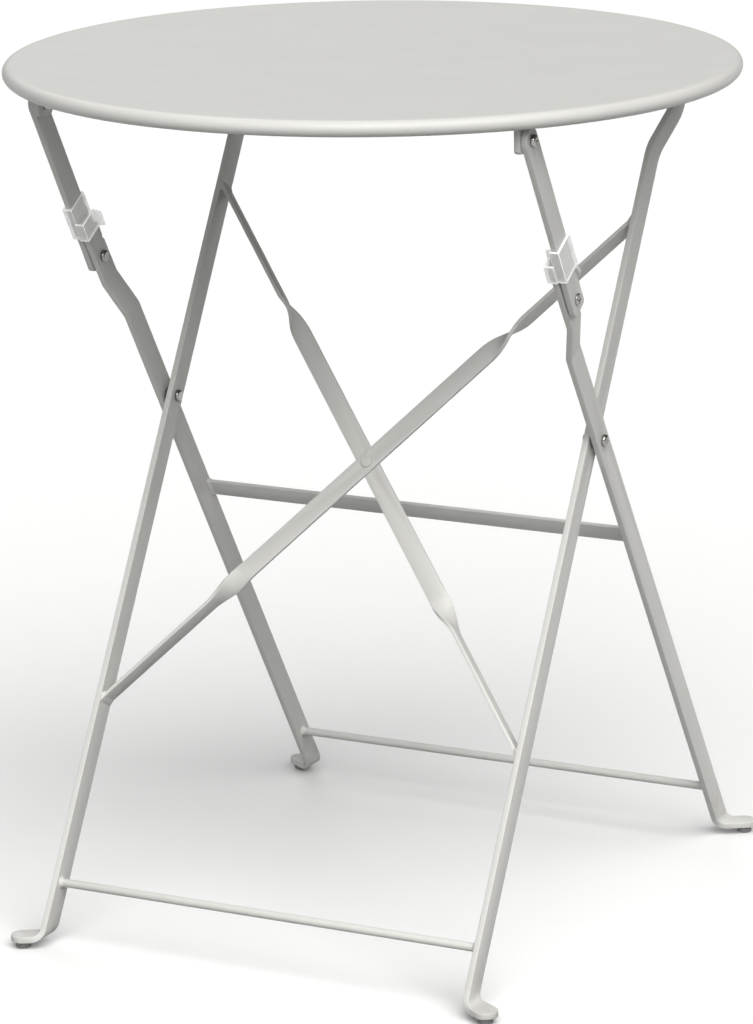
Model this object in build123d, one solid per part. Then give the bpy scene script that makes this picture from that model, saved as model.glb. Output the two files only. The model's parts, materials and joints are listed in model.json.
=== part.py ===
"""Folding pavement table: pressed round top, scissor frame of flat bar, elbow arms and sliding clips.

Origin on the ground under the middle of the top.  X runs along the hinge axes, -Y is the side where
the inner frame's feet stand, +Z is up.  Every right-hand piece is mirrored in X for the left.
"""
from build123d import *
import math
import os

os.makedirs("parts", exist_ok=True)

# ---- table top ----------------------------------------------------------------------------------
table_height = 710.0
top_diameter = 595.0
sheet_thickness = 1.2
rim_roll_diameter = 12.6        # outside diameter of the rolled edge

# ---- flat bar and round bar ---------------------------------------------------------------------
bar_width = 20.0
bar_thickness = 5.0
rod_diameter = 7.0
strap_width = 16.0
strap_thickness = 3.0

# ---- places of the hinge axes: each height is measured down from the table's surface ------------
scissor_y = 3.0
scissor_below = 299.0
rear_hinge_below = 18.0         # inner frame to the top
front_hinge_y = -167.0
front_hinge_below = 25.0        # arms to the top
elbow_below = 164.5
inner_lean = 30.35              # degrees from vertical, top towards the rear
outer_lean = 32.84              # degrees from vertical, top towards the front

# ---- frame widths, measured across X ------------------------------------------------------------
inner_frame_width = 386.0       # over the outer faces of the inner frame's legs
scissor_gap = 3.5               # between an inner and an outer leg
outer_joggle = 9.5              # how far an outer leg steps outwards above the scissor
inner_joggle = 12.5             # how far an inner leg steps outwards near the top
elbow_gap = 1.6                 # between an outer leg and its arm
rear_hinge_gap = 1.2            # between an inner leg and its lug
front_hinge_gap = 0.5           # between an arm and its lug

# ---- bends and ends -----------------------------------------------------------------------------
foot_bend_radius = 6.0          # inside radius where a leg turns out into its pad
outer_joggle_radius = 12.0
inner_joggle_radius = 40.0
outer_joggle_start = 100.0      # along the leg from the scissor
outer_joggle_end = 135.0
inner_joggle_start = 248.0
inner_joggle_end = 284.0
pad_reach = 9.5                 # from the end of the foot bend to the middle of the pad's round end
leg_tip_length = 42.0           # outer leg above the elbow
leg_tip_corner = 3.0
round_end_flat = 0.02           # straight stretch left between the two corners of a round end
leg_tip_cutback = 6.0           # taken off the rear edge of the tip
cutback_start = 10.0            # along the tip, where the rear edge starts to slope in
cutback_end = 25.0
arm_tail_length = 11.0          # arm below the elbow
arm_tail_corner = 4.0

# ---- stop ear on the outer leg's tip ------------------------------------------------------------
ear_thickness = 3.0
ear_start = 12.5                # along the arm from the elbow
ear_length = 13.0
ear_clearance = 0.4             # behind the arm's rear edge
ear_overhang = 2.2              # past the arm's outer face
ear_bend = 1.8                  # radius of its bends, and how far across X its slope runs
ear_tip_flat = 1.0              # straight stretch left between the two round corners of its end

# ---- cross bars ---------------------------------------------------------------------------------
front_rod_z = 48.5
front_rod_forward = 2.5         # ahead of the leg's middle line
rear_rod_z = 48.0
stretcher_drop = 119.0          # along the outer leg, below the scissor
stretcher_back = 6.5            # behind the leg's middle line
brace_low = 265.0               # along the inner leg, below the scissor
brace_high = 185.0              # along the inner leg, above the scissor
twist_centre = 141.0            # from each end of a strap
twist_length = 46.0
twist_sections = 8              # steps that a strap's quarter twist is lofted through

# ---- screws, nuts, washers and the brace's rivet ------------------------------------------------
screw_radius = 3.0
running_clearance = 0.05
head_radius = 5.0
scissor_head_height = 3.2
hinge_head_height = 3.6
elbow_head_height = 1.8
head_rounding = 0.7             # share of a head's height that its edge is rounded by
nut_radius = 5.0
nut_height = 3.4
nut_rounding = 2.0
nut_bite = 2.0                  # how deep a screw's end sits in its nut
washer_radius = 7.5
washer_clearance = 0.3
recess_width = 1.3
recess_length = 6.0
recess_depth = 1.4
rivet_head_radius = 5.0
rivet_head_height = 2.0
rivet_radius = 2.5
rivet_rounding = 1.4

# ---- lugs and rails under the top ---------------------------------------------------------------
lug_thickness = 5.0
lug_width = 22.0
lug_below_hinge = 10.0
lug_corner = 4.0
rail_width = 30.0
rail_thickness = 2.0
rail_corner = 5.0
rail_overhang = 8.0             # past the outer edge of each lug, along Y

# ---- glides under the pads ----------------------------------------------------------------------
glide_radius = 6.3
glide_height = 5.5
glide_edge = 1.2
spigot_radius = 3.5
spigot_length = 3.0

# ---- sliding clips ------------------------------------------------------------------------------
clip_low = 27.5                 # along the arm from the elbow
clip_step = 44.5
clip_high = 58.5
clip_wall = 2.0
clip_web = 1.0                  # between the arm and the leg's tip
clip_hook = 8.0                 # reach of the inner plate behind the tip's middle line
clip_clearance = 0.3
clip_edge = 0.8

# ---- worked out from the values above -----------------------------------------------------------
scissor_z = table_height - scissor_below
rear_hinge_z = table_height - rear_hinge_below
front_hinge_z = table_height - front_hinge_below
elbow_z = table_height - elbow_below
rim_radius = rim_roll_diameter / 2
half_width = bar_width / 2
inner_tan = math.tan(math.radians(inner_lean))
outer_tan = math.tan(math.radians(outer_lean))
rear_hinge_y = scissor_y + inner_tan * (rear_hinge_z - scissor_z)
elbow_y = scissor_y - outer_tan * (elbow_z - scissor_z)
inner_face = inner_frame_width / 2 - bar_thickness              # inner leg, inner face
outer_face = inner_frame_width / 2 + scissor_gap                # outer leg, inner face
outer_face_high = outer_face + outer_joggle
inner_face_high = inner_face + inner_joggle
arm_face = outer_face_high + bar_thickness + elbow_gap          # arm, inner face
lug_face = inner_face_high + bar_thickness + rear_hinge_gap     # rear lug, inner face
front_lug_face = arm_face - front_hinge_gap - lug_thickness     # front lug, inner face
rail_bottom = table_height - sheet_thickness - rail_thickness
hole_radius = screw_radius + running_clearance


def axis_plane(y, z, along_y, along_z):
    """Plane through (0, y, z): its x is the world's X, its y runs along the given direction."""
    size = math.hypot(along_y, along_z)
    return Plane(origin=(0, y, z), x_dir=(1, 0, 0), z_dir=(0, -along_z / size, along_y / size))


inner_plane = axis_plane(scissor_y, scissor_z, inner_tan, 1)
outer_plane = axis_plane(scissor_y, scissor_z, -outer_tan, 1)
arm_plane = axis_plane(elbow_y, elbow_z, front_hinge_y - elbow_y, front_hinge_z - elbow_z)
arm_length = math.hypot(front_hinge_y - elbow_y, front_hinge_z - elbow_z)
elbow_along = math.hypot(elbow_y - scissor_y, elbow_z - scissor_z)
rear_hinge_along = math.hypot(rear_hinge_y - scissor_y, rear_hinge_z - scissor_z)


def mirrored(shape):
    return mirror(shape, about=Plane.YZ)


def save(name, *shapes):
    """Writes one node; several shapes become one node of separate solids."""
    solids = [solid for shape in shapes for solid in shape.solids()]
    export_step(solids[0] if len(solids) == 1 else Compound(children=solids), f"parts/{name}.step")
    print(name, len(solids), "solid(s)")


def x_cylinder(radius, x_from, x_to, y, z):
    """Cylinder along X."""
    plane = Plane(origin=(x_from, y, z), z_dir=(1, 0, 0))
    return extrude(plane * Circle(radius), amount=x_to - x_from)


def strip_profile(points, thickness, radius):
    """Section of a bent strip: the middle line's points are offset to both faces and the bends rounded."""
    sides = []
    for sign in (1, -1):
        side = []
        for i, (x, v) in enumerate(points):
            before = points[max(i - 1, 0)]
            after = points[min(i + 1, len(points) - 1)]
            into = Vector(x - before[0], v - before[1]) if i else None
            out = Vector(after[0] - x, after[1] - v) if i < len(points) - 1 else None
            into = (into or out).normalized()
            out = (out or into).normalized()
            bisector = Vector(-(into.Y + out.Y), into.X + out.X).normalized()
            reach = sign * thickness / 2 / bisector.dot(Vector(-into.Y, into.X))
            turn = into.cross(out).Z * sign
            side.append((x + bisector.X * reach, v + bisector.Y * reach, turn))
        sides.append(side)
    outline = sides[0] + sides[1][::-1]
    face = make_face(Polyline(*[(x, v) for x, v, _ in outline], close=True))
    for x, v, turn in outline:
        if abs(turn) > 1e-6:
            corner = min(face.vertices(), key=lambda p: (p.X - x) ** 2 + (p.Y - v) ** 2)
            face = fillet(corner, radius - thickness / 2 if turn > 0 else radius + thickness / 2)
    return face


def bar_from_profile(plane, profile):
    """Extrudes a strip section across the bar's width, centred on the plane."""
    return extrude(plane * profile, amount=half_width, both=True)


def side_plane(plane):
    """Plane of a bar's wide face: x runs along the bar, y towards the bar's rear edge."""
    return Plane(origin=plane.origin, x_dir=plane.y_dir, z_dir=(-1, 0, 0))


def side_outline(plane, sketch):
    """Solid that a wide-face outline cuts through everything along X on the right-hand side."""
    return extrude(side_plane(plane) * sketch, amount=-top_diameter)


def foot(slope, leg_inner_face, side_sign):
    """Bend and pad under a leg: the bar turns outwards about a level crease, so the pad lies flat."""
    centre_x = leg_inner_face + bar_thickness + foot_bend_radius
    half_y = half_width * math.hypot(1, slope)
    sections = []
    for step in range(5):
        angle = math.radians(90 * step / 4)
        arc = (foot_bend_radius + bar_thickness / 2) * angle
        y = foot_start_y(slope, side_sign) + side_sign * slope * arc
        corners = []
        for radius, edge in (
            (foot_bend_radius, -1),
            (foot_bend_radius, 1),
            (foot_bend_radius + bar_thickness, 1),
            (foot_bend_radius + bar_thickness, -1),
        ):
            x = centre_x - radius * math.cos(angle)
            z = foot_start_z() - radius * math.sin(angle)
            corners.append((x, y + edge * half_y, z))
        sections.append(make_face(Polyline(*corners, close=True)))
    bend = loft(sections)
    pad_x, pad_y = pad_centre(slope, leg_inner_face, side_sign)
    bend_end_y = pad_y - side_sign * slope * pad_reach
    lean = math.atan(slope)
    edge_x = half_width * math.sin(lean)
    edge_y = half_width * math.cos(lean) * side_sign
    outline = Polyline(
        (centre_x, bend_end_y + side_sign * half_y),
        (pad_x - edge_x, pad_y + edge_y),
        (pad_x, pad_y),
        (pad_x + edge_x, pad_y - edge_y),
        (centre_x, bend_end_y - side_sign * half_y),
        close=True,
    )
    plate = extrude(Plane.XY.offset(glide_height) * make_face(outline), amount=bar_thickness)
    round_end = extrude(
        Plane(origin=(pad_x, pad_y, glide_height)) * Circle(half_width), amount=bar_thickness
    )
    socket = extrude(
        Plane(origin=(pad_x, pad_y, glide_height)) * Circle(spigot_radius + running_clearance),
        amount=spigot_length + running_clearance,
    )
    return bend + plate + round_end - socket


def foot_start_z():
    return glide_height + bar_thickness + foot_bend_radius


def foot_start_y(slope, side_sign):
    return scissor_y + side_sign * slope * (scissor_z - foot_start_z())


def pad_centre(slope, leg_inner_face, side_sign):
    """Middle of the pad's round end, where the glide sits."""
    arc = (foot_bend_radius + bar_thickness / 2) * math.pi / 2
    x = leg_inner_face + bar_thickness + foot_bend_radius + pad_reach
    return x, foot_start_y(slope, side_sign) + side_sign * slope * (arc + pad_reach)


def above_foot(solid):
    """Cuts a straight leg off level where its foot bend starts."""
    return split(solid, bisect_by=Plane.XY.offset(foot_start_z()), keep=Keep.TOP)


def rounded_bar_outline(start, end, corner):
    """Wide-face outline from start to end along the bar, its far end rounded."""
    body = Pos((start + end) / 2, 0) * Rectangle(end - start, bar_width)
    far = [v for v in body.vertices() if v.X > end - 1e-3]
    return fillet(far, corner)


def make_front_leg():
    mid = inner_face + bar_thickness / 2
    profile = strip_profile(
        [
            (mid, -table_height),
            (mid, inner_joggle_start),
            (mid + inner_joggle, inner_joggle_end),
            (mid + inner_joggle, rear_hinge_along + bar_width),
        ],
        bar_thickness,
        inner_joggle_radius,
    )
    leg = bar_from_profile(inner_plane, profile)
    end = rear_hinge_along + half_width
    outline = rounded_bar_outline(-table_height, end, (bar_width - round_end_flat) / 2)
    leg = above_foot(leg & side_outline(inner_plane, outline))
    leg += foot(inner_tan, inner_face, -1)
    leg -= x_cylinder(hole_radius, 0, top_diameter, scissor_y, scissor_z)
    leg -= x_cylinder(hole_radius, 0, top_diameter, rear_hinge_y, rear_hinge_z)
    return leg


def make_rear_leg():
    mid = outer_face + bar_thickness / 2
    tip = elbow_along + leg_tip_length
    profile = strip_profile(
        [
            (mid, -table_height),
            (mid, outer_joggle_start),
            (mid + outer_joggle, outer_joggle_end),
            (mid + outer_joggle, tip + bar_width),
        ],
        bar_thickness,
        outer_joggle_radius,
    )
    leg = bar_from_profile(outer_plane, profile)
    outline = rounded_bar_outline(-table_height, tip, leg_tip_corner)
    slope_start = elbow_along + cutback_start
    slope_end = elbow_along + cutback_end
    cutback = Polyline(
        (slope_start, half_width + 1),
        (slope_start, half_width),
        (slope_end, half_width - leg_tip_cutback),
        (tip + 1, half_width - leg_tip_cutback),
        (tip + 1, half_width + 1),
        close=True,
    )
    outline -= make_face(cutback)
    leg = above_foot(leg & side_outline(outer_plane, outline))
    leg += foot(outer_tan, outer_face, 1)
    leg += make_ear()
    leg -= x_cylinder(hole_radius, 0, top_diameter, scissor_y, scissor_z)
    leg -= x_cylinder(hole_radius, 0, top_diameter, elbow_y, elbow_z)
    return leg


def make_ear():
    """Small tab that leaves the tip's rear edge and hooks behind the arm, square to the arm."""
    origin = arm_plane.origin + arm_plane.y_dir * ear_start
    section_plane = Plane(origin=origin, x_dir=(1, 0, 0), z_dir=arm_plane.y_dir)
    mid_x = outer_face_high + bar_thickness / 2
    hook = half_width + ear_clearance + ear_thickness / 2
    reach_x = arm_face + bar_thickness + ear_overhang
    points = [
        (mid_x, half_width - leg_tip_cutback),
        (mid_x, hook - ear_thickness),
        (mid_x + ear_bend, hook),
        (reach_x, hook),
    ]
    ear = extrude(section_plane * strip_profile(points, ear_thickness, ear_bend), amount=ear_length)
    end_edges = [edge for edge in ear.edges() if abs(edge.center().X - reach_x) < 1e-3]
    corners = [edge for edge in end_edges if edge.length < ear_thickness + 0.1]
    return fillet(corners, (ear_length - ear_tip_flat) / 2)


def make_arm():
    body = Pos((arm_length - arm_tail_length) / 2, 0) * Rectangle(arm_length + arm_tail_length, bar_width)
    tail = [v for v in body.vertices() if v.X < 0]
    body = fillet(tail, arm_tail_corner)
    outline = body + Pos(arm_length, 0) * Circle(half_width)
    face = Plane(origin=side_plane(arm_plane).origin + Vector(arm_face, 0, 0),
                 x_dir=arm_plane.y_dir, z_dir=(1, 0, 0))
    arm = extrude(face * outline, amount=bar_thickness)
    arm -= x_cylinder(hole_radius, 0, top_diameter, elbow_y, elbow_z)
    arm -= x_cylinder(hole_radius, 0, top_diameter, front_hinge_y, front_hinge_z)
    return arm


def make_table_top():
    """Flat pressed sheet whose edge is rolled three quarters of a turn."""
    centre = (top_diameter / 2 - rim_radius, table_height - rim_radius)
    roll = Circle(rim_radius) - Circle(rim_radius - sheet_thickness)
    mouth = Pos(-rim_radius / 2, (rim_radius - sheet_thickness) / 2) * Rectangle(
        rim_radius, rim_radius - sheet_thickness
    )
    sheet_length = centre[0]
    sheet_middle = rim_radius - sheet_thickness / 2
    sheet = Pos(-sheet_length / 2, sheet_middle) * Rectangle(sheet_length, sheet_thickness)
    section = roll - mouth + sheet
    return revolve(Plane.XZ * (Pos(*centre) * section), axis=Axis.Z)


def make_lug(inner_x, y, z):
    """Hinge lug standing under a rail."""
    low = z - lug_below_hinge
    height = rail_bottom - low
    plate = Pos(y, low + height / 2) * Rectangle(lug_width, height)
    corners = [v for v in plate.vertices() if v.Y < low + 1e-3]
    face = Plane(origin=(inner_x, 0, 0), x_dir=(0, 1, 0), z_dir=(1, 0, 0))
    lug = extrude(face * fillet(corners, lug_corner), amount=lug_thickness)
    return lug - x_cylinder(hole_radius, 0, top_diameter, y, z)


def make_rail():
    front = front_hinge_y - lug_width / 2 - rail_overhang
    rear = rear_hinge_y + lug_width / 2 + rail_overhang
    middle_x = (lug_face + front_lug_face + lug_thickness) / 2
    rail = Pos(middle_x, (front + rear) / 2, rail_bottom + rail_thickness / 2) * Box(
        rail_width, rear - front, rail_thickness
    )
    return fillet(rail.edges().filter_by(Axis.Z), rail_corner)


def make_screw(x_head, x_end, head_height, y, z, recess=True):
    """Pan-head screw: the head stands outwards from x_head, the shank runs inwards to x_end."""
    head = x_cylinder(head_radius, x_head, x_head + head_height, y, z)
    rim = head.edges().filter_by(GeomType.CIRCLE).sort_by(Axis.X)[-1]
    head = fillet(rim, head_height * head_rounding)
    if recess:
        depth = min(recess_depth, head_height / 2)
        for width, height in ((recess_width, recess_length), (recess_length, recess_width)):
            head -= Pos(x_head + head_height - depth / 2, y, z) * Box(depth, width, height)
    return head + x_cylinder(screw_radius, x_end, x_head, y, z)


def make_dome_nut(x_seat, y, z):
    """Domed nut on the inner side: it stands inwards from x_seat."""
    nut = x_cylinder(nut_radius, x_seat - nut_height, x_seat, y, z)
    rim = nut.edges().filter_by(GeomType.CIRCLE).sort_by(Axis.X)[0]
    nut = fillet(rim, nut_rounding)
    return nut - x_cylinder(screw_radius, x_seat - nut_bite, x_seat, y, z)


def make_washer(x_from, x_to, y, z):
    return x_cylinder(washer_radius, x_from, x_to, y, z) - x_cylinder(hole_radius, x_from, x_to, y, z)


def make_strap(sign):
    """Brace strap: flat in the frame's plane in the middle, turned on edge near each end."""
    low = Vector(-inner_face * sign, -brace_low)
    high = Vector(inner_face * sign, brace_high)
    span = high - low
    length = span.length
    face_shift = sign * strap_thickness / 2
    along = (inner_plane.x_dir * span.X + inner_plane.y_dir * span.Y).normalized()
    normal = inner_plane.z_dir
    across = along.cross(normal)

    def section(distance):
        turned = abs(distance - length / 2) - (length / 2 - twist_centre - twist_length / 2)
        share = min(max(turned / twist_length, 0), 1)
        share = share * share * (3 - 2 * share)
        hand = -1 if distance < length / 2 else 1
        angle = math.radians(90) * share * hand
        wide = across * math.cos(angle) + normal * math.sin(angle)
        thick = normal * math.cos(angle) - across * math.sin(angle)
        middle = inner_plane.origin + inner_plane.x_dir * low.X + inner_plane.y_dir * low.Y
        middle = middle + along * distance + normal * face_shift * (1 - share)
        corners = [
            middle + wide * (a * strap_width / 2) + thick * (b * strap_thickness / 2)
            for a, b in ((-1, -1), (1, -1), (1, 1), (-1, 1))
        ]
        return make_face(Polyline(*corners, close=True))

    twist_from = twist_centre - twist_length / 2
    twist_to = twist_centre + twist_length / 2
    first = [twist_from + twist_length * i / twist_sections for i in range(twist_sections + 1)]
    second = [length - d for d in first[::-1]]
    overshoot = strap_width
    strap = loft([section(-overshoot), section(first[0])], ruled=True)
    strap += loft([section(d) for d in first])
    strap += loft([section(twist_to), section(length - twist_to)], ruled=True)
    strap += loft([section(d) for d in second])
    strap += loft([section(length - twist_from), section(length + overshoot)], ruled=True)
    between_legs = Pos(0, scissor_y, scissor_z) * Box(2 * inner_face, 2 * table_height, 2 * table_height)
    seat = Plane(origin=brace_centre(), z_dir=normal)
    return (strap & between_legs) - extrude(seat * Circle(rivet_radius), amount=bar_width, both=True)


def brace_centre():
    return inner_plane.origin + inner_plane.y_dir * ((brace_high - brace_low) / 2)


def make_rivet():
    """Flat-headed rivet through the crossing of the two straps."""
    normal = inner_plane.z_dir
    seat = Plane(origin=brace_centre(), z_dir=normal)
    shank = extrude(seat.offset(-strap_thickness) * Circle(rivet_radius), amount=2 * strap_thickness)
    for side in (1, -1):
        head_plane = Plane(origin=brace_centre() + normal * (strap_thickness * side), z_dir=normal * side)
        head = extrude(head_plane * Circle(rivet_head_radius), amount=rivet_head_height)
        rim = head.edges().filter_by(GeomType.CIRCLE).sort_by(Axis(head_plane.origin, head_plane.z_dir))[-1]
        shank += fillet(rim, rivet_rounding)
    return shank


def make_rod(x_half, y, z):
    return x_cylinder(rod_diameter / 2, -x_half, x_half, y, z)


def make_stretcher():
    middle = outer_plane.origin - outer_plane.y_dir * stretcher_drop - outer_plane.z_dir * stretcher_back
    plane = Plane(origin=middle, x_dir=(1, 0, 0), z_dir=outer_plane.z_dir)
    return plane * Box(2 * outer_face, strap_width, strap_thickness)


def make_glide(slope, leg_inner_face, side_sign):
    x, y = pad_centre(slope, leg_inner_face, side_sign)
    button = extrude(Plane(origin=(x, y, 0)) * Circle(glide_radius), amount=glide_height)
    rim = button.edges().filter_by(GeomType.CIRCLE).sort_by(Axis.Z)[0]
    button = fillet(rim, glide_edge)
    seat = Plane(origin=(x, y, glide_height))
    return button + extrude(seat * Circle(spigot_radius), amount=spigot_length)


def make_clip():
    """Sleeve round the arm; its lower end hooks round the front and inside of the outer leg's tip."""
    def block(v_from, v_to, x_from, x_to, z_from, z_to):
        box = Box(x_to - x_from, v_to - v_from, z_to - z_from)
        return arm_plane * Pos((x_from + x_to) / 2, (v_from + v_to) / 2, (z_from + z_to) / 2) * box

    cavity_half = half_width + clip_clearance
    wall_half = cavity_half + clip_wall
    outer_x = arm_face + bar_thickness + clip_clearance
    arm_x = arm_face - clip_clearance
    tip_x = outer_face_high - clip_clearance
    clip = block(clip_low, clip_high, arm_x - clip_web, outer_x + clip_wall, -wall_half, wall_half)
    lean_apart = outer_plane.y_dir.cross(arm_plane.y_dir).length
    hook_half = cavity_half + clip_step * lean_apart
    hook_wall = hook_half + clip_wall
    clip += block(clip_low, clip_step, tip_x - clip_wall, arm_x, hook_half, hook_wall)
    clip += block(clip_low, clip_step, arm_x - clip_web, arm_x, 0, hook_wall)
    clip += block(clip_low, clip_step, tip_x - clip_wall, tip_x, -clip_hook, hook_wall)
    along = arm_plane.y_dir
    outer_edges = [
        e for e in clip.edges()
        if abs(e.tangent_at(0.5).dot(along)) > 0.99 and not tip_x + 0.1 < e.center().X < outer_x
    ]
    clip = fillet([e for e in outer_edges if abs(e.center().X - tip_x) > 0.01], clip_edge)
    return clip - block(clip_low - 1, clip_high + 1, arm_x, outer_x, -cavity_half, cavity_half)


front_leg = make_front_leg()
save("front_leg_right", front_leg)
save("front_leg_left", mirrored(front_leg))
rear_leg = make_rear_leg()
save("rear_leg_right", rear_leg)
save("rear_leg_left", mirrored(rear_leg))
arm = make_arm()
save("upper_arm_right", arm)
save("upper_arm_left", mirrored(arm))
clip = make_clip()
save("locking_clip_right", clip)
save("locking_clip_left", mirrored(clip))

front_rod_y = scissor_y + inner_tan * (front_rod_z - scissor_z) - front_rod_forward
rear_rod_y = scissor_y + outer_tan * (scissor_z - rear_rod_z)
save("front_foot_rod", make_rod(inner_face, front_rod_y, front_rod_z))
save("rear_foot_rod", make_rod(outer_face, rear_rod_y, rear_rod_z))
save("rear_stretcher", make_stretcher())
save("brace_strap_rear", make_strap(-1))
save("brace_strap_front", make_strap(1))
save("brace_rivet", make_rivet())

for name, slope, face, sign in (("front", inner_tan, inner_face, -1), ("rear", outer_tan, outer_face, 1)):
    glide = make_glide(slope, face, sign)
    save(f"{name}_glide_right", glide)
    save(f"{name}_glide_left", mirrored(glide))

save("table_top", make_table_top())
rail = make_rail()
save("top_rail_right", rail)
save("top_rail_left", mirrored(rail))
front_lug = make_lug(front_lug_face, front_hinge_y, front_hinge_z)
save("front_lug_right", front_lug)
save("front_lug_left", mirrored(front_lug))
rear_lug = make_lug(lug_face, rear_hinge_y, rear_hinge_z)
save("rear_lug_right", rear_lug)
save("rear_lug_left", mirrored(rear_lug))


def save_pair(name, shape):
    """Identical fasteners of both sides share one node."""
    save(name, shape, mirrored(shape))


scissor = (scissor_y, scissor_z)
elbow = (elbow_y, elbow_z)
front_hinge = (front_hinge_y, front_hinge_z)
rear_hinge = (rear_hinge_y, rear_hinge_z)
scissor_head_face = outer_face + bar_thickness + washer_clearance
scissor_screw = make_screw(
    scissor_head_face, inner_face - nut_bite, scissor_head_height, *scissor, recess=False
)
save_pair("scissor_screws", scissor_screw)
save_pair("scissor_nuts", make_dome_nut(inner_face, *scissor))
scissor_washer = make_washer(inner_face + bar_thickness, outer_face - washer_clearance, *scissor)
save_pair("scissor_washers", scissor_washer)
rear_hinge_nut_face = inner_face_high - washer_clearance
rear_hinge_screw = make_screw(
    lug_face + lug_thickness, rear_hinge_nut_face - nut_bite, hinge_head_height, *rear_hinge
)
save_pair("rear_hinge_screws", rear_hinge_screw)
save_pair("rear_hinge_nuts", make_dome_nut(rear_hinge_nut_face, *rear_hinge))
rear_washer = make_washer(lug_face - rear_hinge_gap + washer_clearance, lug_face, *rear_hinge)
save_pair("rear_hinge_washers", rear_washer)
front_hinge_screw = make_screw(
    arm_face + bar_thickness + washer_clearance, front_lug_face - nut_bite, hinge_head_height, *front_hinge
)
save_pair("front_hinge_screws", front_hinge_screw)
save_pair("front_hinge_nuts", make_dome_nut(front_lug_face, *front_hinge))
elbow_nut = make_dome_nut(outer_face_high, *elbow)
elbow_stud = x_cylinder(screw_radius, outer_face_high - nut_bite, outer_face_high + bar_thickness, *elbow)
save_pair("elbow_nuts", elbow_nut + elbow_stud)
elbow_screw = make_screw(arm_face + bar_thickness, arm_face, elbow_head_height, *elbow)
save("elbow_screw_right", elbow_screw)
save("elbow_screw_left", mirrored(elbow_screw))
elbow_washer = make_washer(arm_face - elbow_gap + washer_clearance, arm_face, *elbow)
save("elbow_washer_right", elbow_washer)
save("elbow_washer_left", mirrored(elbow_washer))
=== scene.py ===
import bpy
import json
import math
from mathutils import Matrix, Vector

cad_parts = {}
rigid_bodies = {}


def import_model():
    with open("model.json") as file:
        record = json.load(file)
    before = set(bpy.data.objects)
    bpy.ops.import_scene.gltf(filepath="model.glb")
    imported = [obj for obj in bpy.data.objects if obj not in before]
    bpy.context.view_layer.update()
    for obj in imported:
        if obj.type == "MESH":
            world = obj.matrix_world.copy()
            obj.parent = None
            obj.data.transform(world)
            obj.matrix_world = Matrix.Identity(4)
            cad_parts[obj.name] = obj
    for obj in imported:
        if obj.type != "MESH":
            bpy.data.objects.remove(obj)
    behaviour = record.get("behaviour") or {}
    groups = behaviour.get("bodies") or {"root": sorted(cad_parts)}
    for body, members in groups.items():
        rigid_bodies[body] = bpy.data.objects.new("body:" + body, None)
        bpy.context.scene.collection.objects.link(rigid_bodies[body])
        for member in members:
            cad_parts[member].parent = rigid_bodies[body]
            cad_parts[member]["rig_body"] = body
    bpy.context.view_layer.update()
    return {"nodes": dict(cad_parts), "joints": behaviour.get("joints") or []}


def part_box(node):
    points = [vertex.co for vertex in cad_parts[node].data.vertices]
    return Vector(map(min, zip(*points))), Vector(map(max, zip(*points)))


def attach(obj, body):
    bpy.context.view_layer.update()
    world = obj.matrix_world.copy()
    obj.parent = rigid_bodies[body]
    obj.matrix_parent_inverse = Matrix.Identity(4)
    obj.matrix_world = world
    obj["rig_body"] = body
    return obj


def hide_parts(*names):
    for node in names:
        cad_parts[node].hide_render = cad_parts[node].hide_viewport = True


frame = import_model()
nodes = frame["nodes"]
joints = {joint["name"]: joint for joint in frame["joints"]}
print("frame loaded:", len(nodes), "nodes")

camera = {"place": (1.6962, -3.3990, 1.3414), "azimuth": 26.54, "elevation": 14.90, "roll": -0.73,
          "lens": 227.9, "farthest": 150}


def addCamera():
    bpy.ops.object.camera_add(location=camera["place"])
    shot = bpy.context.object
    shot.name = "studioCamera"
    turn = Matrix.Rotation(math.radians(camera["azimuth"]), 3, "Z")
    tilt = Matrix.Rotation(math.radians(90 - camera["elevation"]), 3, "X")
    roll = Matrix.Rotation(math.radians(camera["roll"]), 3, "Z")
    shot.rotation_euler = (turn @ tilt @ roll).to_euler()
    shot.data.lens = camera["lens"]
    shot.data.sensor_fit = "HORIZONTAL"
    shot.data.clip_end = camera["farthest"]
    bpy.context.scene.camera = shot


lights = {
    "key": {"azimuth": 42, "elevation": 51, "spread": 62, "strength": 3.35, "colour": (1, 0.995, 0.98)},
    "front": {"azimuth": 8, "elevation": 14, "spread": 60, "strength": 0.70, "colour": (1, 1, 1)},
    "rim": {"azimuth": 215, "elevation": 40, "spread": 30, "strength": 0.35, "colour": (0.97, 0.98, 1)},
}
worldStrength = 0.18


def addLights():
    for name, lamp in lights.items():
        bpy.ops.object.light_add(type="SUN", location=(0, 0, 3))
        light = bpy.context.object
        light.name = name + "Light"
        light.data.energy = lamp["strength"]
        light.data.angle = math.radians(lamp["spread"])
        light.data.color = lamp["colour"]
        turn = Matrix.Rotation(math.radians(lamp["azimuth"]), 3, "Z")
        tilt = Matrix.Rotation(math.radians(90 - lamp["elevation"]), 3, "X")
        light.rotation_euler = (turn @ tilt).to_euler()
    world = bpy.data.worlds.new("studioWorld")
    bpy.context.scene.world = world
    world.use_nodes = True
    background = world.node_tree.nodes["Background"]
    background.inputs["Color"].default_value = (1, 1, 1, 1)
    background.inputs["Strength"].default_value = worldStrength
    bpy.context.scene.view_settings.view_transform = "Standard"


addCamera()
addLights()
print("camera and lights placed")


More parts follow.
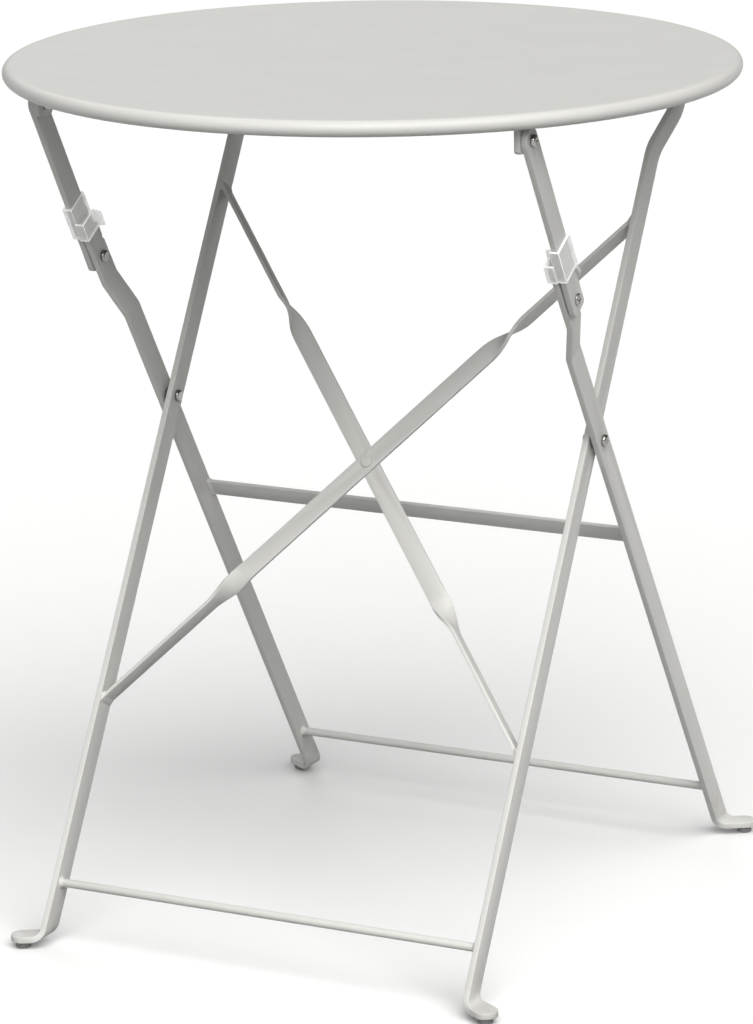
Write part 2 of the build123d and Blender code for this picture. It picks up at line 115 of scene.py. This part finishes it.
class Wire:
    # wraps a node socket, so that shader maths reads as plain expressions
    def __init__(self, tree, socket=None):
        self.tree = tree
        self.socket = socket

    def node(self, kind, settings=None, sockets=None, output=0):
        made = self.tree.nodes.new(kind)
        for name, value in (settings or {}).items():
            setattr(made, name, value)
        for name, value in (sockets or {}).items():
            if isinstance(value, Wire):
                self.tree.links.new(value.socket, made.inputs[name])
            else:
                made.inputs[name].default_value = value
        return Wire(self.tree, made.outputs[output] if made.outputs else None)

    def maths(self, operation, first, second):
        return self.node("ShaderNodeMath", {"operation": operation}, {0: first, 1: second})

    def __add__(self, other):
        return self.maths("ADD", self, other)

    def __sub__(self, other):
        return self.maths("SUBTRACT", self, other)

    def __rsub__(self, other):
        return self.maths("SUBTRACT", other, self)

    def __mul__(self, other):
        return self.maths("MULTIPLY", self, other)

    __radd__ = __add__
    __rmul__ = __mul__


def startMaterial(name):
    material = bpy.data.materials.new(name)
    material.use_nodes = True
    material.node_tree.nodes.clear()
    return material, Wire(material.node_tree)


def noise(wire, coords, scale, detail=2.0):
    sockets = {"Vector": coords, "Scale": scale, "Detail": detail, "Roughness": 0.55}
    return wire.node("ShaderNodeTexNoise", None, sockets)


def clamp(wire, value, low, high):
    return wire.node("ShaderNodeClamp", None, {"Value": value, "Min": low, "Max": high})


def patches(wire, value, settings):
    # a noise turned into patches: none below the start, and no stronger than the most
    return clamp(wire, (value - settings["start"]) * settings["gain"], 0.0, settings["most"])


def blendColours(wire, share, first, second):
    # sockets 6 and 7 are the two colours, output 2 the blended one
    return wire.node("ShaderNodeMix", {"data_type": "RGBA"}, {0: share, 6: first, 7: second}, output=2)


def finishMaterial(wire, colour, roughness, height, depth, extras=None, alpha=1.0):
    normal = wire.node("ShaderNodeBump", None, {"Strength": 1.0, "Distance": depth, "Height": height})
    sockets = {"Base Color": colour, "Roughness": roughness, "Normal": normal, "Alpha": alpha}
    shader = wire.node("ShaderNodeBsdfPrincipled", None, {**sockets, **(extras or {})})
    wire.node("ShaderNodeOutputMaterial", None, {"Surface": shader})


enamel = {
    "light": (0.655, 0.651, 0.627, 1), "dark": (0.583, 0.580, 0.558, 1), "darkShare": 0.25,
    "toneSwing": 0.9, "peel": 520.0, "grain": 2100.0, "cloud": 11.0, "peelShare": 0.75, "depth": 0.00008,
    "roughness": 0.40, "peelGloss": 0.10, "cloudGloss": 0.12,
    "dust": (0.40, 0.37, 0.32, 1), "dustScale": 70.0, "dustHeight": 0.06,
    "dustPatches": {"start": 0.45, "gain": 1.6, "most": 0.22},
}
coats = {  # the frame's bars are a little rougher than the top, and the welds the roughest
    "topEnamel": {"rougher": 0.0, "deeper": 1.0},
    "frameEnamel": {"rougher": 0.03, "deeper": 1.3},
    "weldEnamel": {"rougher": 0.08, "deeper": 4.0},
}


def enamelMaterial(name):
    material, wire = startMaterial(name)
    coat = coats[name]
    coords = wire.node("ShaderNodeTexCoord", output=3)
    peel = noise(wire, coords, enamel["peel"])
    grain = noise(wire, coords, enamel["grain"], 1.0)
    cloud = noise(wire, coords, enamel["cloud"], 3.0)
    swing = (cloud - 0.5) * enamel["toneSwing"] + (grain - 0.5) * enamel["toneSwing"]
    tone = clamp(wire, enamel["darkShare"] + swing, 0.0, 1.0)
    colour = blendColours(wire, tone, enamel["light"], enamel["dark"])
    height = wire.node("ShaderNodeSeparateXYZ", None, {"Vector": coords}, output=2)
    nearGround = clamp(wire, 1.0 - height * (1 / enamel["dustHeight"]), 0.0, 1.0)
    specks = noise(wire, coords, enamel["dustScale"], 4.0)
    dust = patches(wire, specks, enamel["dustPatches"]) * nearGround
    colour = blendColours(wire, dust, colour, enamel["dust"])
    gloss = (peel - 0.5) * enamel["peelGloss"] + (cloud - 0.5) * enamel["cloudGloss"]
    surface = enamel["roughness"] + coat["rougher"] + gloss + dust
    relief = peel * enamel["peelShare"] + grain * (1 - enamel["peelShare"])
    finishMaterial(wire, colour, surface, relief, enamel["depth"] * coat["deeper"])
    return material


# clear and milky are the plastic's own tones; inner is a painted glow inside the walls, and the colour
# after it a painted highlight on the edges, used in the base colour and in the emission of the glow
# strength
clipPlastic = {
    "clear": (0.84, 0.845, 0.84, 1), "milky": (0.74, 0.745, 0.74, 1),
    "inner": (0.50, 0.50, 0.495, 1), "paintedHighlight": (0.98, 0.98, 0.97, 1), "glow": 0.24,
    "alpha": 0.44, "edgeAlpha": 0.86, "alphaSwing": 0.20, "leastAlpha": 0.3, "mostAlpha": 0.95,
    "flow": 85.0, "fine": 900.0, "flowShare": 0.6, "depth": 0.00006,
    "roughness": 0.26, "gloss": 0.14, "index": 1.49,
}


def clipMaterial():
    material, wire = startMaterial("clipPlastic")
    coords = wire.node("ShaderNodeTexCoord", output=3)
    flow = noise(wire, coords, clipPlastic["flow"], 3.0)
    fine = noise(wire, coords, clipPlastic["fine"])
    # faces marked for the painted edge highlight
    edge = wire.node("ShaderNodeAttribute", {"attribute_name": "paintedEdgeHighlight"}, output=2)
    colour = blendColours(wire, flow, clipPlastic["clear"], clipPlastic["milky"])
    # painted highlight: the marked edges are blended towards near white
    colour = blendColours(wire, edge, colour, clipPlastic["paintedHighlight"])
    glow = blendColours(wire, edge, clipPlastic["inner"], clipPlastic["paintedHighlight"])  # painted glow: light passing through the wall, given as emission, stronger on the edges
    edgeGain = clipPlastic["edgeAlpha"] - clipPlastic["alpha"]
    alpha = clipPlastic["alpha"] + (flow - 0.5) * clipPlastic["alphaSwing"] + edge * edgeGain
    alpha = clamp(wire, alpha, clipPlastic["leastAlpha"], clipPlastic["mostAlpha"])
    surface = clipPlastic["roughness"] + (fine - 0.5) * clipPlastic["gloss"]
    relief = fine * (1 - clipPlastic["flowShare"]) + flow * clipPlastic["flowShare"]
    extras = {"IOR": clipPlastic["index"], "Emission Strength": clipPlastic["glow"], "Emission Color": glow}
    finishMaterial(wire, colour, surface, relief, clipPlastic["depth"], extras, alpha)
    return material


glidePlastic = {
    "dark": (0.20, 0.20, 0.195, 1), "worn": (0.33, 0.325, 0.31, 1), "grain": 1500.0, "depth": 0.00005,
    "dust": 160.0, "dustPatches": {"start": 0.45, "gain": 2.5, "most": 1.0},
    "roughness": 0.48, "dustGloss": 0.25,
}


def glideMaterial():
    material, wire = startMaterial("glidePlastic")
    coords = wire.node("ShaderNodeTexCoord", output=3)
    grain = noise(wire, coords, glidePlastic["grain"])
    dust = patches(wire, noise(wire, coords, glidePlastic["dust"], 4.0), glidePlastic["dustPatches"])
    colour = blendColours(wire, dust, glidePlastic["dark"], glidePlastic["worn"])
    surface = glidePlastic["roughness"] + dust * glidePlastic["dustGloss"]
    finishMaterial(wire, colour, surface, grain, glidePlastic["depth"])
    return material


fastener = {
    "bright": (0.36, 0.355, 0.34, 1), "dull": (0.15, 0.145, 0.14, 1), "turned": 700.0, "depth": 0.00003,
    "stain": 130.0, "stainPatches": {"start": 0.4, "gain": 2.5, "most": 1.0},
    "roughness": 0.20, "gloss": 0.2,
}


def steelMaterial():
    material, wire = startMaterial("fastenerSteel")
    coords = wire.node("ShaderNodeTexCoord", output=3)
    turned = noise(wire, coords, fastener["turned"], 3.0)
    stain = noise(wire, coords, fastener["stain"], 3.0)
    dullness = patches(wire, stain, fastener["stainPatches"])
    colour = blendColours(wire, dullness, fastener["bright"], fastener["dull"])
    surface = fastener["roughness"] + (turned - 0.5) * fastener["gloss"] + (stain - 0.5) * fastener["gloss"]
    finishMaterial(wire, colour, surface, turned, fastener["depth"], {"Metallic": 1.0})
    return material


studioFloor = {"size": 90.0, "drop": 0.0004, "pale": (0.96, 0.96, 0.96, 1), "shade": (0.93, 0.93, 0.93, 1),
               "cloud": 1.5, "roughness": 0.7, "gloss": 0.1, "depth": 0.0002}


def floorMaterial():
    material, wire = startMaterial("floorPaper")
    coords = wire.node("ShaderNodeTexCoord", output=3)
    cloud = noise(wire, coords, studioFloor["cloud"])
    colour = blendColours(wire, cloud, studioFloor["pale"], studioFloor["shade"])
    surface = studioFloor["roughness"] + (cloud - 0.5) * studioFloor["gloss"]
    finishMaterial(wire, colour, surface, cloud, studioFloor["depth"])
    return material


finishes = {  # a material, and the name of the record's slot for it
    "top": (enamelMaterial("topEnamel"), "top_enamel"),
    "frame": (enamelMaterial("frameEnamel"), "frame_enamel"),
    "weld": (enamelMaterial("weldEnamel"), "frame_enamel"),
    "clip": (clipMaterial(), "clip_plastic"),
    "glide": (glideMaterial(), "glide_plastic"),
    "steel": (steelMaterial(), "fastener_steel"),
}
print("materials made:", len(finishes))


def pickOnly(piece):
    bpy.ops.object.select_all(action="DESELECT")
    piece.select_set(True)
    bpy.context.view_layer.objects.active = piece


def dress(piece, name, body, finish):
    piece.name = name
    piece.data.name = name
    material, slot = finishes[finish]
    piece.data.materials.clear()
    piece.data.materials.append(material)
    for face in piece.data.polygons:
        face.material_index = 0
    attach(piece, body)
    return piece


def applyAll(piece, smoothAngle):
    pickOnly(piece)
    for modifier in list(piece.modifiers):
        bpy.ops.object.modifier_apply(modifier=modifier.name)
    bpy.ops.object.transform_apply(location=True, rotation=True, scale=True)
    bpy.ops.object.shade_smooth_by_angle(angle=math.radians(smoothAngle))


rounding = {"limit": 38, "smooth": 40, "merge": 0.000003, "flat": 0.5}  # the angles are in degrees


def softenEdges(piece, width, segments=2):
    bevel = piece.modifiers.new("edges", "BEVEL")
    bevel.width = width
    bevel.segments = segments
    bevel.limit_method = "ANGLE"
    bevel.angle_limit = math.radians(rounding["limit"])
    bevel.use_clamp_overlap = False


def finishNode(node, finish, edge, segments=2):
    # a merged copy of the frame's mesh, with its sharp edges rounded, stands for the node
    piece = bpy.data.objects.new(node + "_finished", nodes[node].data.copy())
    bpy.context.scene.collection.objects.link(piece)
    pickOnly(piece)
    bpy.ops.object.mode_set(mode="EDIT")
    bpy.ops.mesh.select_all(action="SELECT")
    bpy.ops.mesh.remove_doubles(threshold=rounding["merge"])
    bpy.ops.mesh.dissolve_limited(angle_limit=math.radians(rounding["flat"]))
    bpy.ops.object.mode_set(mode="OBJECT")
    softenEdges(piece, edge, segments)
    applyAll(piece, rounding["smooth"])
    dress(piece, node + "_finished", nodes[node]["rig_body"], finish)
    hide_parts(node)
    return piece


tableTop = {"sides": 256, "sheet": 0.0012, "steps": 22, "curl": 285.0, "border": 0.004}


def addTableTop():
    low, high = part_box("table_top")
    roll = (high.z - low.z) / 2
    reach = high.x - roll
    middle = high.z - roll
    bpy.ops.mesh.primitive_circle_add(
        vertices=tableTop["sides"], radius=reach, fill_type="NGON", location=(0, 0, high.z)
    )
    piece = bpy.context.object
    bpy.ops.object.transform_apply(location=True, rotation=True, scale=True)
    bpy.ops.object.mode_set(mode="EDIT")
    bpy.ops.mesh.select_mode(type="EDGE")
    bpy.ops.mesh.inset(thickness=tableTop["border"])
    bpy.ops.mesh.select_all(action="SELECT")
    bpy.ops.mesh.region_to_loop()
    outside = [90 - tableTop["curl"] * step / tableTop["steps"] for step in range(1, tableTop["steps"] + 1)]
    path = [(roll, angle) for angle in outside]
    path += [(roll - tableTop["sheet"], angle) for angle in outside[::-1] + [90]]
    radius, height = reach, high.z
    for arm, angle in path:  # the sheet's outer skin goes round the roll, then its inner skin comes back
        newRadius = reach + arm * math.cos(math.radians(angle))
        newHeight = middle + arm * math.sin(math.radians(angle))
        bpy.ops.mesh.extrude_edges_move(TRANSFORM_OT_translate={"value": (0, 0, newHeight - height)})
        growth = newRadius / radius
        bpy.ops.transform.resize(value=(growth, growth, 1), center_override=(0, 0, newHeight))
        radius, height = newRadius, newHeight
    bpy.ops.mesh.edge_face_add()
    bpy.ops.mesh.select_mode(type="FACE")
    bpy.ops.mesh.inset(thickness=tableTop["border"])
    bpy.ops.mesh.select_all(action="SELECT")
    bpy.ops.mesh.normals_make_consistent(inside=False)
    bpy.ops.object.mode_set(mode="OBJECT")
    applyAll(piece, rounding["smooth"])
    dress(piece, "pressedTop", "top", "top")
    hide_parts("table_top")


weld = {"flare": 0.0022, "depth": 0.0032, "waist": 0.80, "proud": 0.0001, "sides": 28, "edge": 0.0004,
        "smooth": 50}


def addRodWelds():
    for node in ("front_foot_rod", "rear_foot_rod"):
        low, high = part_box(node)
        radius = (high.z - low.z) / 2
        y, z = (low.y + high.y) / 2, (low.z + high.z) / 2
        for side in (1, -1):
            x = side * (high.x - weld["depth"] / 2)
            bpy.ops.object.select_all(action="DESELECT")
            bpy.ops.mesh.primitive_cone_add(
                vertices=weld["sides"], radius1=radius + weld["flare"], radius2=radius + weld["proud"],
                depth=weld["depth"], location=(x, y, z), rotation=(0, -side * math.pi / 2, 0)
            )
            piece = bpy.context.object
            bpy.ops.object.transform_apply(location=True, rotation=True, scale=True)
            bpy.ops.object.mode_set(mode="EDIT")
            bpy.ops.mesh.select_all(action="SELECT")
            bpy.ops.mesh.bisect(plane_co=(x, y, z), plane_no=(1, 0, 0))
            waist = (1, weld["waist"], weld["waist"])
            bpy.ops.transform.resize(value=waist, center_override=(x, y, z))
            bpy.ops.object.mode_set(mode="OBJECT")
            softenEdges(piece, weld["edge"])
            applyAll(piece, weld["smooth"])
            sideName = "right" if side > 0 else "left"
            dress(piece, f"{node}_weld_{sideName}", nodes[node]["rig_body"], "weld")


squareOn = 0.9  # the least cosine that counts as facing a direction


def pickFacing(piece, direction):
    # picks the faces that look in the direction, and leaves the piece in edit mode
    pickOnly(piece)
    bpy.ops.object.mode_set(mode="EDIT")
    bpy.ops.mesh.select_mode(type="FACE")
    bpy.ops.mesh.select_all(action="DESELECT")
    bpy.ops.object.mode_set(mode="OBJECT")
    for face in piece.data.polygons:
        face.select = face.normal.dot(direction) > squareOn
    bpy.ops.object.mode_set(mode="EDIT")


flatWeld = {"flare": 0.0016, "depth": 0.0028, "edge": 0.0006, "proud": 0.0002, "smooth": 60,
            "onLeg": 0.00001, "apart": 0.0005}


def sectionAt(node, side):
    # a flat strip's section where it meets a leg, as its middle, its long side and its thin side
    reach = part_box(node)[1].x
    corners = []
    for point in (vertex.co for vertex in nodes[node].data.vertices):
        onLeg = side * point.x > reach - flatWeld["onLeg"]
        if onLeg and all((point - corner).length > flatWeld["apart"] for corner in corners):
            corners.append(point.copy())
    first, *others = corners
    thin, long = sorted((corner - first for corner in others), key=lambda step: step.length)[:2]
    return sum(corners, Vector()) / len(corners), long, thin


def addFlatWelds():
    for node in ("brace_strap_front", "brace_strap_rear", "rear_stretcher"):
        across = sectionAt(node, 1)[0] - sectionAt(node, -1)[0]
        for side in (1, -1):
            middle, long, thin = sectionAt(node, side)
            turn = Matrix.Rotation(math.atan2(long.z, long.y), 3, "X")
            drift = turn.inverted() @ (across * (-side * flatWeld["depth"] / across.x))
            bpy.ops.object.select_all(action="DESELECT")
            bpy.ops.mesh.primitive_cube_add(size=1, location=(-side * flatWeld["depth"] / 2, 0, 0))
            piece = bpy.context.object
            flare = 2 * flatWeld["flare"]
            piece.scale = (flatWeld["depth"], long.length + flare, thin.length + flare)
            bpy.ops.object.transform_apply(location=True, rotation=True, scale=True)
            pickFacing(piece, Vector((-side, 0, 0)))
            snug = [(size.length + flatWeld["proud"]) / (size.length + flare) for size in (long, thin)]
            bpy.ops.transform.resize(value=(1, *snug), center_override=(0, 0, 0))
            bpy.ops.transform.translate(value=(0, drift.y, drift.z))
            bpy.ops.object.mode_set(mode="OBJECT")
            piece.location = middle
            piece.rotation_euler = turn.to_euler()
            softenEdges(piece, flatWeld["edge"], segments=3)
            applyAll(piece, flatWeld["smooth"])
            sideName = "right" if side > 0 else "left"
            dress(piece, f"{node}_weld_{sideName}", nodes[node]["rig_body"], "weld")


bar = {"edge": 0.0005, "strapEdge": 0.0004, "rodEdge": 0.0002}


def addFrameBars():
    for node in sorted(nodes):
        if "leg" in node or "arm" in node:
            finishNode(node, "frame", bar["edge"], segments=3)
        elif "strap" in node or "stretcher" in node or "rail" in node or "lug" in node:
            finishNode(node, "frame", bar["strapEdge"])
        elif "rod" in node or "rivet" in node:
            finishNode(node, "frame", bar["rodEdge"])


clip = {"edge": 0.0002, "finReach": 0.0065, "finWall": 0.0016, "finEdge": 0.0005, "finOverlap": 0.0004,
        "finTaper": (1, 0.86, 0.7), "plateDepth": 0.0001, "faceAlign": 0.97}


def clipFrame(node):
    # along the clip's slide, and across it towards the rear
    side = "right" if node.endswith("right") else "left"
    along = Vector(joints["clip_slide_" + side]["axis"]).normalized()
    return along, Vector((1, 0, 0)).cross(along) * (1 if along.z < 0 else -1)


def markPaintedEdgeHighlights(piece, across):
    # marks the rounded edges and the cut ends of the plastic, which the material gives a painted highlight
    # and a stronger painted glow
    glow = piece.data.attributes.new("paintedEdgeHighlight", "FLOAT", "CORNER")
    for face in piece.data.polygons:
        flat = max(abs(face.normal.x), abs(face.normal.dot(across)))
        for corner in face.loop_indices:
            glow.data[corner].value = 0.0 if flat > clip["faceAlign"] else 1.0


def addFin(node, along, across):
    # a small tapered fin on the rear edge of the clip's inner plate, standing inwards
    points = [vertex.co for vertex in nodes[node].data.vertices]
    side = 1 if points[0].x > 0 else -1
    inner = min(side * point.x for point in points)
    plate = [point for point in points if side * point.x < inner + clip["plateDepth"]]
    low = min(point.dot(along) for point in plate)
    high = max(point.dot(along) for point in plate)
    rear = max(point.dot(across) for point in plate)
    bpy.ops.object.select_all(action="DESELECT")
    bpy.ops.mesh.primitive_cube_add(size=1, location=(0, 0, 0))
    piece = bpy.context.object
    piece.scale = (clip["finReach"], high - low, clip["finWall"])
    bpy.ops.object.transform_apply(location=True, rotation=True, scale=True)
    pickFacing(piece, Vector((-side, 0, 0)))
    bpy.ops.transform.resize(value=clip["finTaper"], center_override=(0, 0, 0))
    bpy.ops.object.mode_set(mode="OBJECT")
    sideways = Vector((1, 0, 0))
    place = along * (low + high) / 2 + across * (rear - clip["finWall"] / 2)
    piece.location = place + sideways * side * (inner - clip["finReach"] / 2 + clip["finOverlap"])
    piece.rotation_euler = Matrix((sideways, along, sideways.cross(along))).transposed().to_euler()
    softenEdges(piece, clip["finEdge"])
    applyAll(piece, rounding["smooth"])
    markPaintedEdgeHighlights(piece, across)
    dress(piece, node + "_fin", nodes[node]["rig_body"], "clip")


def addClips():
    for node in ("locking_clip_right", "locking_clip_left"):
        along, across = clipFrame(node)
        markPaintedEdgeHighlights(finishNode(node, "clip", clip["edge"]), across)
        addFin(node, along, across)


smallParts = {"steelEdge": 0.00015, "glideEdge": 0.0003}


def addSmallParts():
    for node in sorted(nodes):
        if "screw" in node or "nut" in node or "washer" in node:
            finishNode(node, "steel", smallParts["steelEdge"])
        elif "glide" in node:
            finishNode(node, "glide", smallParts["glideEdge"])


addTableTop()
print("table top rolled")
addFrameBars()
addRodWelds()
addFlatWelds()
print("frame bars finished and welded")
addSmallParts()
addClips()
print("fasteners, glides and clips finished")


def addFloor():
    bpy.ops.object.select_all(action="DESELECT")
    bpy.ops.mesh.primitive_plane_add(size=studioFloor["size"], location=(0, 0, -studioFloor["drop"]))
    floor = bpy.context.object
    floor.name = "studioFloor"
    bpy.ops.object.transform_apply(location=True, rotation=True, scale=True)
    floor.data.materials.append(floorMaterial())
    floor.visible_diffuse = False  # the paper is seen, and throws no light up under the top


backdrop = {"radius": 40.0, "segments": 64, "rings": 32, "skirt": 0.01, "pale": (0.97, 0.97, 0.97, 1)}


def addBackdrop():
    # a pale half dome far off, seen by the camera alone, so that it neither lights nor shades the table
    bpy.ops.object.select_all(action="DESELECT")
    bpy.ops.mesh.primitive_uv_sphere_add(
        radius=backdrop["radius"], segments=backdrop["segments"], ring_count=backdrop["rings"]
    )
    dome = bpy.context.object
    dome.name = "studioBackdrop"
    bpy.ops.object.mode_set(mode="EDIT")
    bpy.ops.mesh.select_all(action="SELECT")
    foot = (0, 0, -backdrop["skirt"])
    bpy.ops.mesh.bisect(plane_co=foot, plane_no=(0, 0, 1), clear_inner=True)
    bpy.ops.mesh.select_all(action="SELECT")
    bpy.ops.mesh.flip_normals()
    bpy.ops.object.mode_set(mode="OBJECT")
    bpy.ops.object.transform_apply(location=True, rotation=True, scale=True)
    material, wire = startMaterial("backdropPaper")
    glow = wire.node("ShaderNodeEmission", None, {"Color": backdrop["pale"], "Strength": 1.0})
    wire.node("ShaderNodeOutputMaterial", None, {"Surface": glow})
    dome.data.materials.append(material)
    dome.visible_diffuse = dome.visible_glossy = dome.visible_shadow = False


addFloor()
addBackdrop()
print("floor and backdrop placed")
